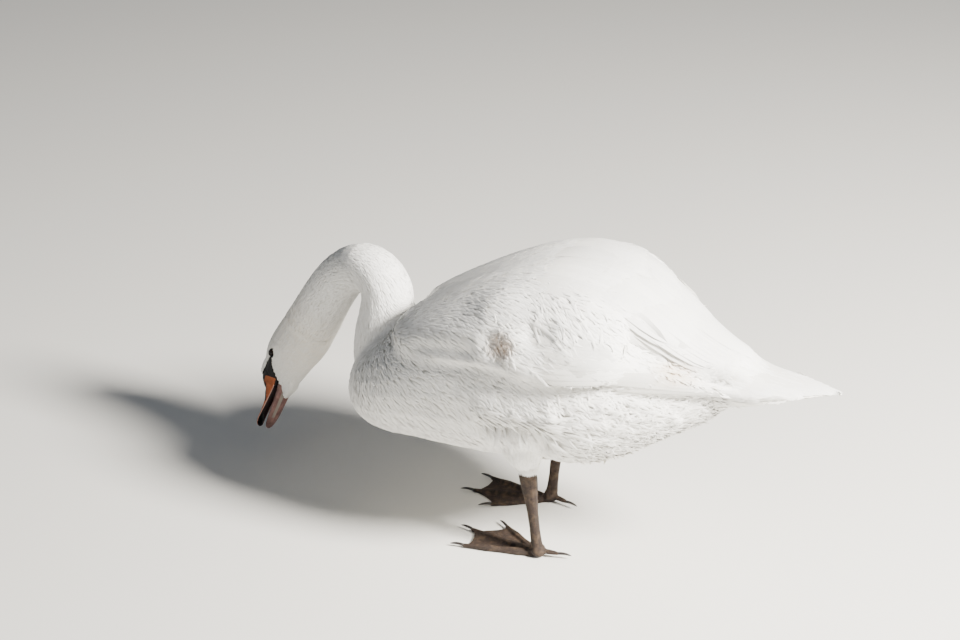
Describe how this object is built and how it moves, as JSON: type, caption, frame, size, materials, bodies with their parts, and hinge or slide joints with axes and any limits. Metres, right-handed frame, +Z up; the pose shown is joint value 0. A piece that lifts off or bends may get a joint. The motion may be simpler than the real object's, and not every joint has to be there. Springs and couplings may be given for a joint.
{
  "type": "mute swan",
  "caption": "Life-size mute swan that grazes: standing with wings folded, neck arched over and the slightly open bill held close to the ground.",
  "frame": {"origin": "bottom centre of the bounding box, on the floor that the soles rest on", "axes": "-X is the way the bird faces, +X runs to the tail, -Y is its left side, +Z is up"},
  "size_m": [0.8734, 0.306, 0.4188],
  "materials": {
    "body_plumage": "soft white plumage over flesh, matt",
    "wing_coverts": "white covert feathers, matt",
    "flight_feathers": "smooth white vanes with a faint sheen",
    "bill_skin": "dull orange horny skin, satin",
    "mandible_skin": "pinkish grey horny skin, satin",
    "black_skin": "black bare skin and horn, satin",
    "eye": "dark brown, wet gloss",
    "leg_skin": "brownish grey scaly skin, wrinkled",
    "claw_horn": "dark horn, satin"
  },
  "bodies": {
    "root": {"trunk": "body_plumage", "neck_lower": "body_plumage", "neck_middle": "body_plumage", "neck_upper": "body_plumage", "head": "body_plumage", "bill_knob": "black_skin", "bill_upper": "bill_skin", "bill_nail": "black_skin", "bill_lower": "mandible_skin", "tail": "flight_feathers", "eye_left": "eye", "wing_left": "wing_coverts", "tertials_left": "flight_feathers", "primaries_left": "flight_feathers", "thigh_left": "body_plumage", "shank_left": "leg_skin", "foot_left": "leg_skin", "claw_left_inner": "claw_horn", "claw_left_middle": "claw_horn", "claw_left_outer": "claw_horn", "claw_left_hind": "claw_horn", "eye_right": "eye", "wing_right": "wing_coverts", "tertials_right": "flight_feathers", "primaries_right": "flight_feathers", "thigh_right": "body_plumage", "shank_right": "leg_skin", "foot_right": "leg_skin", "claw_right_inner": "claw_horn", "claw_right_middle": "claw_horn", "claw_right_outer": "claw_horn", "claw_right_hind": "claw_horn"}
  },
  "joints": []
}
